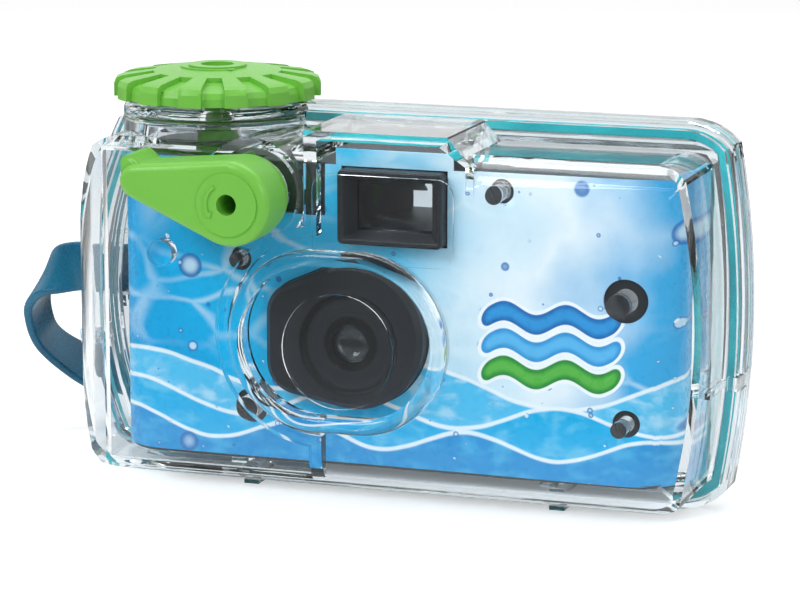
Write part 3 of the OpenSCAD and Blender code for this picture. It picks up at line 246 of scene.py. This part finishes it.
def lens_surround(name, color):
    """Black moulding with fine rings round the lens, duller on the walls of its two steps and darkened there by
    painted shade.
    """
    material, tree, shader, _ = new_material(name)
    coordinates = object_coordinates(tree)
    axes = tree.nodes.new("ShaderNodeSeparateXYZ")
    tree.links.new(coordinates, axes.inputs["Vector"])
    aside = math_node(tree, "SUBTRACT", axes.outputs["X"], LENS_X)
    above = math_node(tree, "SUBTRACT", axes.outputs["Z"], LENS_Z)
    square = math_node(tree, "MULTIPLY_ADD", aside, aside, math_node(tree, "MULTIPLY", above, above))
    radius = math_node(tree, "SQRT", square)
    mouth = map_range(tree, radius, *MOUTH_EDGE, 1.0, 0.0)
    past_foot = map_range(tree, radius, *STEP_FOOT)
    below_rim = map_range(tree, radius, *STEP_RIM, 1.0, 0.0)
    rise = math_node(tree, "MULTIPLY", past_foot, below_rim)
    painted_shade_and_dull = math_node(tree, "MAXIMUM", mouth, math_node(tree, "MULTIPLY", rise, 0.85))
    body = mottled(tree, coordinates, color)
    # Painted shade: at the lens mouth and on the step wall the black falls to 0.12 of itself, and these zones are
    # rougher as well
    tree.links.new(mix_color(tree, painted_shade_and_dull, body, tuple(c * 0.12 for c in color)), shader.inputs["Base Color"])
    fine = noise(tree, coordinates, scale=GRAIN_SCALE, detail=2)
    sheen = map_range(tree, fine, 0.3, 0.7, 0.33, 0.45)
    tree.links.new(math_node(tree, "MULTIPLY_ADD", painted_shade_and_dull, 0.35, sheen), shader.inputs["Roughness"])
    dish = map_range(tree, radius, *DISH_EDGE, 1.0, 0.0)
    turns = math_node(tree, "SINE", math_node(tree, "MULTIPLY", radius, 2 * math.pi / RING_PITCH))
    height = math_node(tree, "MULTIPLY_ADD", math_node(tree, "MULTIPLY", turns, dish), 0.6, fine)
    bump(tree, shader, height, 0.012 * MM)
    shader.inputs["IOR"].default_value = PLASTIC_IOR
    shader.inputs["Specular IOR Level"].default_value = 0.45
    return material


def rubber(name, color, inner, smoothest=0.34, dullest=0.5):
    material, tree, shader, _ = new_material(name)
    coordinates = object_coordinates(tree)
    broad = noise(tree, coordinates, scale=70, detail=4)
    patches = map_range(tree, broad, 0.35, 0.65)
    tree.links.new(mix_color(tree, patches, inner, color), shader.inputs["Base Color"])
    fine = noise(tree, coordinates, scale=1800, detail=3)
    tree.links.new(map_range(tree, fine, 0.3, 0.7, smoothest, dullest), shader.inputs["Roughness"])
    bump(tree, shader, fine, 0.008 * MM)
    return material


def metal(name, color, roughness):
    material, tree, shader, _ = new_material(name)
    shader.inputs["Metallic"].default_value = 1
    coordinates = object_coordinates(tree)
    brushed = noise(tree, coordinates, scale=900, detail=3)
    dark = tuple(c * 0.8 for c in color)
    tree.links.new(mix_color(tree, brushed, dark, color), shader.inputs["Base Color"])
    sheen = map_range(tree, brushed, 0.3, 0.7, roughness - 0.06, roughness + 0.08)
    tree.links.new(sheen, shader.inputs["Roughness"])
    return material


def wave_height(tree, x, base, swing, length, shift, drift):
    """Height of a wave's crest along X, in metres."""
    angle = math_node(tree, "MULTIPLY_ADD", x, 2 * math.pi / length, shift)
    crest = math_node(tree, "MULTIPLY_ADD", math_node(tree, "SINE", angle), swing, base)
    return math_node(tree, "MULTIPLY_ADD", drift, swing * 1.6, crest)


def bubbles(tree, color, flat, scale, share, size):
    """Round bubbles with a dark rim, a pale middle and a highlight."""
    cells = add(tree, "ShaderNodeTexVoronoi", feature="F1", Scale=scale, Randomness=0.8)
    tree.links.new(flat, cells.inputs["Vector"])
    chance = tree.nodes.new("ShaderNodeSeparateColor")
    tree.links.new(cells.outputs["Color"], chance.inputs["Color"])
    radius = map_range(tree, chance.outputs["Green"], 0.0, 1.0, size * 0.35, size, smooth=False)
    reach = math_node(tree, "DIVIDE", cells.outputs["Distance"], radius)
    chosen = math_node(tree, "GREATER_THAN", chance.outputs["Red"], share)
    inside = math_node(tree, "MULTIPLY", map_range(tree, reach, 0.94, 1.04, 1.0, 0.0), chosen)
    rim = map_range(tree, reach, 0.62, 0.92)
    body = mix_color(tree, rim, linear(214, 238, 250), linear(34, 112, 184))
    color = mix_color(tree, math_node(tree, "MULTIPLY", inside, 0.85), color, body)
    offset = add(tree, "ShaderNodeVectorMath", operation="SUBTRACT")
    tree.links.new(flat, offset.inputs[0])
    tree.links.new(cells.outputs["Position"], offset.inputs[1])
    glint = add(tree, "ShaderNodeVectorMath", operation="SUBTRACT")
    tree.links.new(offset.outputs["Vector"], glint.inputs[0])
    glint.inputs[1].default_value = (-0.22 * size / scale, 0, 0.24 * size / scale)
    span = add(tree, "ShaderNodeVectorMath", operation="LENGTH")
    tree.links.new(glint.outputs["Vector"], span.inputs[0])
    spot = map_range(tree, span.outputs["Value"], 0.12 * size / scale, 0.2 * size / scale, 1.0, 0.0)
    return mix_color(tree, math_node(tree, "MULTIPLY", spot, inside), color, linear(250, 253, 255))


def printed_card():
    """A generic water print: layered waves, bubbles and a badge of three wavy stripes."""
    material, tree, shader, _ = new_material("printed_card")
    coordinates = object_coordinates(tree)
    axes = tree.nodes.new("ShaderNodeSeparateXYZ")
    tree.links.new(coordinates, axes.inputs["Vector"])
    x, z = axes.outputs["X"], axes.outputs["Z"]
    flatten = add(tree, "ShaderNodeVectorMath", operation="MULTIPLY")
    tree.links.new(coordinates, flatten.inputs[0])
    flatten.inputs[1].default_value = (1.0, 0.0, 1.0)
    flat = flatten.outputs["Vector"]
    drift = noise(tree, flat, scale=30, detail=3)

    # Blue on the left, paler to the right, with soft cloudy patches
    wash = math_node(tree, "MULTIPLY_ADD", x, 8.8, math_node(tree, "MULTIPLY", drift, 0.5))
    color = ramp(
        tree,
        math_node(tree, "ADD", wash, 0.2),
        [
            (0.0, linear(0, 158, 216)),
            (0.2, linear(0, 180, 234)),
            (0.42, linear(70, 198, 240)),
            (0.6, linear(200, 231, 246)),
            (0.72, linear(238, 247, 252)),
            (0.86, linear(60, 172, 226)),
        ],
    )

    # Net of light that plays on shallow water
    warp = add(tree, "ShaderNodeTexNoise", Scale=60.0, Detail=2.0)
    tree.links.new(flat, warp.inputs["Vector"])
    bent = add(tree, "ShaderNodeVectorMath", operation="MULTIPLY_ADD")
    tree.links.new(warp.outputs["Color"], bent.inputs[0])
    bent.inputs[1].default_value = (0.012, 0.0, 0.007)
    tree.links.new(flat, bent.inputs[2])
    squeeze = add(tree, "ShaderNodeVectorMath", operation="MULTIPLY")
    tree.links.new(bent.outputs["Vector"], squeeze.inputs[0])
    squeeze.inputs[1].default_value = (0.7, 0.0, 1.25)
    net = add(tree, "ShaderNodeTexVoronoi", feature="DISTANCE_TO_EDGE", Scale=110.0)
    tree.links.new(squeeze.outputs["Vector"], net.inputs["Vector"])
    lines = map_range(tree, net.outputs["Distance"], 0.0, 0.13, 1.0, 0.0)
    patches = map_range(tree, noise(tree, flat, scale=34, detail=2), 0.42, 0.6)
    color = mix_color(
        tree,
        math_node(tree, "MULTIPLY", math_node(tree, "MULTIPLY", lines, patches), 0.5),
        color,
        linear(228, 245, 253),
    )

    # Waves along the bottom, from the far one to the near one, with heights and lengths in metres
    for base, swing, length, shift, fill, crest in (
        (0.0215, 0.0030, 0.052, 0.6, (84, 194, 238), (214, 240, 250)),
        (0.0165, 0.0026, 0.041, 2.4, (10, 176, 230), (130, 212, 242)),
        (0.0115, 0.0022, 0.033, 4.4, (0, 146, 210), (80, 190, 232)),
    ):
        depth = math_node(tree, "SUBTRACT", wave_height(tree, x, base, swing, length, shift, drift), z)
        body = map_range(tree, depth, -0.0001, 0.0002)
        streak = map_range(tree, noise(tree, squeeze.outputs["Vector"], scale=260, detail=3), 0.45, 0.68)
        tone = mix_color(tree, math_node(tree, "MULTIPLY", streak, 0.55), linear(*fill), linear(*crest))
        color = mix_color(tree, body, color, tone)
        foam = map_range(tree, math_node(tree, "ABSOLUTE", depth), 0.0002, 0.0006, 0.9, 0.0)
        color = mix_color(tree, foam, color, linear(246, 251, 254))

    for scale, share, size in ((120.0, 0.74, 0.36), (230.0, 0.7, 0.34), (430.0, 0.72, 0.32)):
        color = bubbles(tree, color, flat, scale, share, size)

    # Badge: three wavy stripes with round ends, edged in white
    along = math_node(tree, "SUBTRACT", x, BADGE_X)
    beyond = math_node(tree, "SUBTRACT", math_node(tree, "ABSOLUTE", along), BADGE_HALF)
    past = math_node(tree, "MAXIMUM", beyond, 0.0)
    wave = math_node(tree, "SINE", math_node(tree, "MULTIPLY", along, 2 * math.pi / BADGE_WAVE))
    swing = math_node(tree, "MULTIPLY", wave, BADGE_SWING)
    stripes = (
        (37.2 * MM, (52, 152, 216), (28, 108, 180)),
        (32.2 * MM, (96, 186, 236), (52, 152, 216)),
        (27.2 * MM, (92, 184, 74), (40, 140, 60)),
    )
    spans = []
    for level, _, _ in stripes:
        away = math_node(tree, "SUBTRACT", math_node(tree, "SUBTRACT", z, level), swing)
        square = math_node(tree, "MULTIPLY_ADD", away, away, math_node(tree, "MULTIPLY", past, past))
        spans.append(math_node(tree, "SQRT", square))
    for span in spans:
        border = map_range(tree, span, STRIPE_BORDER - PRINT_BLUR, STRIPE_BORDER + PRINT_BLUR, 1.0, 0.0)
        color = mix_color(tree, border, color, linear(250, 252, 253))
    for span, (_, bright, deep) in zip(spans, stripes):
        shade = map_range(tree, span, STRIPE_CORE, STRIPE_HALF - PRINT_BLUR)
        tone = mix_color(tree, shade, linear(*bright), linear(*deep))
        within = map_range(tree, span, STRIPE_HALF - PRINT_BLUR, STRIPE_HALF + PRINT_BLUR, 1.0, 0.0)
        color = mix_color(tree, within, color, tone)

    tree.links.new(color, shader.inputs["Base Color"])
    shader.inputs["Specular IOR Level"].default_value = 0.2
    gloss = map_range(tree, noise(tree, coordinates, scale=700, detail=2), 0.3, 0.7, 0.24, 0.36)
    tree.links.new(gloss, shader.inputs["Roughness"])
    bump(tree, shader, noise(tree, coordinates, scale=400, detail=2), 0.02 * MM)
    return material


GREEN = linear(118, 196, 72)
BLACK = linear(37, 39, 43)

materials = {
    "clear_shell": clear_plastic("clear_shell", (0.928, 0.964, 0.982), 1.42),
    "clear_lens": clear_plastic("clear_lens", (0.94, 0.97, 0.99), 1.52),
    "teal_rubber": rubber("teal_rubber", linear(40, 196, 202), linear(8, 170, 180)),
    "strap_rubber": rubber("strap_rubber", linear(0, 106, 140), linear(0, 84, 114), 0.22, 0.34),
    "seal_rubber": rubber("seal_rubber", linear(36, 36, 38), linear(24, 24, 26)),
    "green_plastic": moulded_plastic("green_plastic", GREEN, 0.36),
    # The same green at 0.6 of its value: a shaded copy of it, which is painted shade
    "dark_green_plastic": moulded_plastic("dark_green_plastic", tuple(c * 0.6 for c in GREEN), 0.45),
    "black_plastic": moulded_plastic("black_plastic", BLACK, 0.38, grain=0.008 * MM, specular=0.45),
    "lens_panel": lens_surround("lens_panel", BLACK),
    "printed_card": printed_card(),
    "spring_steel": metal("spring_steel", (0.62, 0.62, 0.63), 0.3),
    "can_metal": metal("can_metal", (0.55, 0.57, 0.58), 0.35),
    "film_base": moulded_plastic("film_base", linear(86, 54, 38), 0.25),
    "dial_white": moulded_plastic("dial_white", linear(228, 228, 222), 0.4),
}


# Dressed copies of the CAD pieces

WELD_WITHIN = 0.002 * MM
FLAT_WITHIN = math.radians(0.6)
SHARP_FROM = math.radians(32)
BEVEL_FROM = math.radians(35)
CLEAR_SHARP_FROM = math.radians(12)
SAME_PLANE = 0.9995
SHELL_GAP = 0.04 * MM

# Widths of the rounding along the edges of the opaque pieces that show, and of the lenses
SOFTENED = {
    "wind_knob": 0.3 * MM,
    "finder_frame": 0.3 * MM,
    "case_gasket": 0.2 * MM,
    "shutter_lever": 0.0,
    "label_wrap": 0.0,
    "front_cover": 0.3 * MM,
    "rear_cover": 0.3 * MM,
    "lens_panel": 0.0,
    "front_lens": 0.0,
    "finder_glass": 0.0,
    "finder_tunnel": 0.0,
    "finder_eyepiece": 0.0,
}
CLEAR_SHELLS = ("front_case", "rear_case")


def clean_copy(node, dissolve):
    """A smooth-shaded copy of a CAD piece's mesh, with its flat faces joined if dissolve is an angle."""
    mesh = bpy.data.meshes.new(node + "_dressed")
    work = bmesh.new()
    work.from_mesh(nodes[node].data)
    bmesh.ops.remove_doubles(work, verts=work.verts, dist=WELD_WITHIN)
    if dissolve:
        bmesh.ops.dissolve_limit(work, angle_limit=dissolve, verts=work.verts, edges=work.edges)
    for face in work.faces:
        face.smooth = True
    work.to_mesh(mesh)
    work.free()
    mesh.set_sharp_from_angle(angle=SHARP_FROM)
    return mesh


def place_piece(node, mesh):
    """An object that stands for a CAD piece and moves with its body."""
    mesh.materials.append(materials.get(node, materials[slot_of_node[node]]))
    piece = bpy.data.objects.new(node + "_dressed", mesh)
    bpy.context.scene.collection.objects.link(piece)
    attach(piece, body_of_node[node])
    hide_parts(node)
    return piece


def dress(node, bevel):
    """A copy with its edges rounded by bevel metres, unless that is 0."""
    piece = place_piece(node, clean_copy(node, FLAT_WITHIN))
    if bevel:
        modifier = piece.modifiers.new("edges", "BEVEL")
        modifier.width = bevel
        modifier.segments = 2
        modifier.limit_method = "ANGLE"
        modifier.angle_limit = BEVEL_FROM
        modifier.use_clamp_overlap = True
        modifier.harden_normals = True
    weighted = piece.modifiers.new("weighted", "WEIGHTED_NORMAL")
    weighted.keep_sharp = True
    weighted.weight = 80


def dress_clear(node):
    """A copy for clear plastic, which shows black where normals lean off their faces or two pieces share a face."""
    mesh = clean_copy(node, None)
    faces_at = [[] for _ in mesh.vertices]
    for face in mesh.polygons:
        for vertex in face.vertices:
            faces_at[vertex].append(face)
    limit = math.cos(CLEAR_SHARP_FROM)
    normals = []
    for face in mesh.polygons:
        for vertex in face.vertices:
            total = Vector((0, 0, 0))
            for other in faces_at[vertex]:
                if other.normal.dot(face.normal) > limit:
                    total += other.normal * other.area
            normals.append(total.normalized() if total.length > 0 else face.normal.copy())
    for vertex, faces in zip(mesh.vertices, faces_at):
        planes = []
        for face in faces:
            if all(face.normal.dot(plane) < SAME_PLANE for plane in planes):
                planes.append(face.normal.copy())
        depths = numpy.full(len(planes), -SHELL_GAP / 2)
        vertex.co += Vector(numpy.linalg.lstsq(numpy.array(planes), depths, rcond=0.2)[0])
    mesh.shade_smooth()
    mesh.normals_split_custom_set(normals)
    place_piece(node, mesh)


for name, node in nodes.items():
    node.data.materials.clear()
    node.data.materials.append(materials[slot_of_node[name]])

for name, softness in SOFTENED.items():
    dress(name, softness)

for name in CLEAR_SHELLS:
    dress_clear(name)


# Wrist strap: the CAD band's route with rounded edges and a finer sweep

STRAP_STEPS, STRAP_CORNER_STEPS = 12, 4
STRAP_EDGE = 0.6 * MM


def strap_route():
    """Points along the strap's middle and its lean at each, from the CAD model's lengths in millimetres."""
    body_w, rear_depth, mid_z = 122.8, 13.5, 35.65
    half_gasket, flange_t, ridge_h = 0.9, 2.6, 1.4
    lug_d, strap_t, strap_w = 3.2, 1.8, 9.6
    gap, loop_gap, floor_gap = 0.35, 1.8, 0.8
    lug_x = -body_w / 2 - lug_d / 2 - strap_t - 2 * gap
    lug_y = half_gasket + flange_t + ridge_h + strap_t + 2 * gap + lug_d / 2
    turn = lug_d / 2 + gap + strap_t / 2
    loop = rear_depth + loop_gap
    low = strap_w / 2 + floor_gap
    points = [
        (lug_x + turn * math.cos(math.radians(a)), lug_y + turn * math.sin(math.radians(a)), mid_z)
        for a in range(90, -91, -30)
    ]
    points += [
        (lug_x - 5.4, lug_y - turn + 0.5, mid_z - 0.2),
        (lug_x - 12.2, lug_y - 0.4, mid_z - 2.8),
        (lug_x - 16.4, lug_y + 3, mid_z - 9),
        (lug_x - 16, lug_y + 5.6, mid_z - 16),
        (lug_x - 11.4, lug_y + 9.4, mid_z - 21.6),
        (lug_x - 4, lug_y + 15, low + 4.2),
        (lug_x + 11, lug_y + 23, low + 1),
        (lug_x + 29, lug_y + 25, low),
        (lug_x + 43, lug_y + 22, low),
        (lug_x + 48, loop + 8.5, low),
        (lug_x + 42, loop + 3, low + 2.4),
        (lug_x + 25, loop + 1.5, low + 9.4),
        (lug_x + 10, loop + 0.8, mid_z - 9.6),
        (lug_x + 1.4, lug_y + 5.4, mid_z - 1.6),
    ]
    twist = [0, 0, 0, 0, 0, 0, 0, 0, 0.5, 0.9, 0.9, 0.7, 0.35, 0.05, 0, 0, 0, 0, 0, 0, 0]
    return [Vector(p) * MM for p in points], twist, strap_t * MM, strap_w * MM


def smooth_line(points):
    """A closed smooth line through the points, with STRAP_STEPS places to each span."""
    count = len(points)

    def point(i):
        return points[i % count]

    def span(i):
        return (point(i + 1) - point(i)).length

    def heading(i):
        a, b = span(i - 1), span(i)
        return ((point(i) - point(i - 1)) / a * b + (point(i + 1) - point(i)) / b * a) / (a + b)

    line = []
    for i in range(count):
        d = span(i)
        for k in range(STRAP_STEPS):
            t = k / STRAP_STEPS
            line.append(
                point(i) * (2 * t**3 - 3 * t**2 + 1)
                + heading(i) * d * (t**3 - 2 * t**2 + t)
                + point(i + 1) * (3 * t**2 - 2 * t**3)
                + heading(i + 1) * d * (t**3 - t**2)
            )
    return line


def make_strap():
    points, twist, thick, wide = strap_route()
    line = smooth_line(points)
    count = len(line)
    a, b = thick / 2 - STRAP_EDGE, wide / 2 - STRAP_EDGE
    section = []
    for cx, cz, start in ((a, b, 0), (-a, b, 90), (-a, -b, 180), (a, -b, 270)):
        for k in range(STRAP_CORNER_STEPS + 1):
            angle = math.radians(start + k * 90 / STRAP_CORNER_STEPS)
            section.append((cx + STRAP_EDGE * math.cos(angle), cz + STRAP_EDGE * math.sin(angle)))
    work = bmesh.new()
    rings = []
    for i, place in enumerate(line):
        along = (line[(i + 1) % count] - line[i - 1]).normalized()
        span, step = divmod(i, STRAP_STEPS)
        leans = twist[span], twist[(span + 1) % len(twist)]
        lean = leans[0] + (leans[1] - leans[0]) * step / STRAP_STEPS
        upright = Vector((0, lean, 1 - lean))
        across = (upright - along * along.dot(upright)).normalized()
        out = across.cross(along)
        rings.append([work.verts.new(place + out * p + across * q) for p, q in section])
    sides = len(section)
    for i in range(count):
        for k in range(sides):
            here, there = rings[i], rings[(i + 1) % count]
            work.faces.new((here[k], here[(k + 1) % sides], there[(k + 1) % sides], there[k]))
    bmesh.ops.recalc_face_normals(work, faces=work.faces)
    for face in work.faces:
        face.smooth = True
    mesh = bpy.data.meshes.new("wrist_strap_band")
    work.to_mesh(mesh)
    work.free()
    band = bpy.data.objects.new("wrist_strap_band", mesh)
    bpy.context.scene.collection.objects.link(band)
    mesh.materials.append(materials["strap_rubber"])
    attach(band, "strap")
    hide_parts("wrist_strap")


make_strap()


# Stage

FLOOR_HALF = 6
FLOOR_COLOR = (0.9, 0.9, 0.9)
STRAIGHT_GLOW, BENT_GLOW = 0.42, 0.14
ROOM_DARKNESS = 0.85
ROOM_GREY = (0.05, 0.07, 0.08)
DARK_FLOOR = 60 * MM, 120 * MM
SKY_STRENGTH, BACKDROP_STRENGTH = 0.36, 1.0
UPRIGHTS, UPRIGHT_TURN, UPRIGHT_DARKNESS = 6, math.radians(109), 0.42
LAMP_AIM = Vector((0, 0, 35 * MM))


def ray_kinds(tree):
    """1 or 0 for rays straight from the camera, bent by clear or glossy faces, and mirrored by one face."""
    rays = tree.nodes.new("ShaderNodeLightPath")
    turned = math_node(tree, "MAXIMUM", rays.outputs["Is Glossy Ray"], rays.outputs["Is Transmission Ray"])
    undiffused = math_node(tree, "LESS_THAN", rays.outputs["Diffuse Depth"], 0.5)
    mirrored = math_node(tree, "COMPARE", rays.outputs["Glossy Depth"], 1.0, 0.5)
    return rays.outputs["Is Camera Ray"], math_node(tree, "MULTIPLY", turned, undiffused), mirrored


def floor_material():
    """White for the rays that show it, but dark before and behind the object where its faces mirror it."""
    material, tree, shader, _ = new_material("floor_white")
    shader.inputs["Roughness"].default_value = 0.9
    shader.inputs["Specular IOR Level"].default_value = 0.1
    shader.inputs["Emission Color"].default_value = (1, 1, 1, 1)
    place = tree.nodes.new("ShaderNodeSeparateXYZ")
    tree.links.new(object_coordinates(tree), place.inputs["Vector"])
    straight, bent, mirrored = ray_kinds(tree)
    away = map_range(tree, math_node(tree, "ABSOLUTE", place.outputs["Y"]), *DARK_FLOOR)
    dark = math_node(tree, "MULTIPLY", math_node(tree, "MULTIPLY", away, mirrored), ROOM_DARKNESS)
    tree.links.new(mix_color(tree, dark, FLOOR_COLOR, (0.0, 0.0, 0.0)), shader.inputs["Base Color"])
    lift = math_node(tree, "MULTIPLY_ADD", straight, STRAIGHT_GLOW, math_node(tree, "MULTIPLY", bent, BENT_GLOW))
    glow = math_node(tree, "MULTIPLY", lift, math_node(tree, "SUBTRACT", 1.0, dark))
    tree.links.new(glow, shader.inputs["Emission Strength"])
    return material


floor_mesh = bpy.data.meshes.new("floor")
floor_corners = [(x * FLOOR_HALF, y * FLOOR_HALF, 0) for x, y in ((-1, -1), (1, -1), (1, 1), (-1, 1))]
floor_mesh.from_pydata(floor_corners, [], [(0, 1, 2, 3)])
floor_mesh.materials.append(floor_material())
floor = bpy.data.objects.new("floor", floor_mesh)
bpy.context.scene.collection.objects.link(floor)


def lamp(name, place, size, watts):
    data = bpy.data.lights.new(name, "AREA")
    data.shape = "RECTANGLE"
    data.size, data.size_y = size
    data.energy = watts
    made = bpy.data.objects.new(name, data)
    bpy.context.scene.collection.objects.link(made)
    made.location = place
    made.rotation_mode = "QUATERNION"
    made.rotation_quaternion = (LAMP_AIM - Vector(place)).to_track_quat("-Z", "Y")


lamp("key", place=(-0.5, -0.7, 0.75), size=(0.5, 0.4), watts=5)
lamp("fill", place=(0.8, -0.6, 0.45), size=(0.5, 0.5), watts=2.6)
lamp("top", place=(0.05, 0.15, 0.9), size=(0.7, 0.5), watts=3.6)

world = bpy.data.worlds.new("studio")
world.use_nodes = True
bpy.context.scene.world = world
tree = world.node_tree
tree.nodes.clear()
world_out = tree.nodes.new("ShaderNodeOutputWorld")
sky = add(tree, "ShaderNodeBackground", Strength=SKY_STRENGTH)
sky.inputs["Color"].default_value = (1, 1, 1, 1)
backdrop = add(tree, "ShaderNodeBackground", Strength=BACKDROP_STRENGTH)
straight, bent, mirrored = ray_kinds(tree)

# The room round the white backdrop: darker in front of the object where its faces mirror it,
# with grey uprights that the clear case bends into its edges
heading = tree.nodes.new("ShaderNodeSeparateXYZ")
tree.links.new(tree.nodes.new("ShaderNodeTexCoord").outputs["Generated"], heading.inputs["Vector"])
turn = math_node(tree, "ARCTAN2", heading.outputs["Y"], heading.outputs["X"])
from_upright = math_node(tree, "SUBTRACT", turn, UPRIGHT_TURN)
uprights = math_node(tree, "COSINE", math_node(tree, "MULTIPLY", from_upright, UPRIGHTS))
edges = map_range(tree, uprights, -0.75, -0.35, UPRIGHT_DARKNESS, 0.0)
ahead = map_range(tree, heading.outputs["Y"], -0.35, 0.15, ROOM_DARKNESS, 0.0)
grey = math_node(tree, "MAXIMUM", edges, math_node(tree, "MULTIPLY", ahead, mirrored))
grey = math_node(tree, "MULTIPLY", grey, math_node(tree, "SUBTRACT", 1.0, straight))
tree.links.new(mix_color(tree, grey, (1.0, 1.0, 1.0), ROOM_GREY), backdrop.inputs["Color"])
mix = tree.nodes.new("ShaderNodeMixShader")
tree.links.new(math_node(tree, "MAXIMUM", straight, bent), mix.inputs["Fac"])
tree.links.new(sky.outputs["Background"], mix.inputs[1])
tree.links.new(backdrop.outputs["Background"], mix.inputs[2])
tree.links.new(mix.outputs["Shader"], world_out.inputs["Surface"])

bpy.context.scene.view_settings.view_transform = "Standard"

# Light passes many walls of the clear case before it reaches the backdrop
light_paths = bpy.context.scene.cycles
light_paths.max_bounces = 32
light_paths.transmission_bounces = 32
light_paths.glossy_bounces = 12
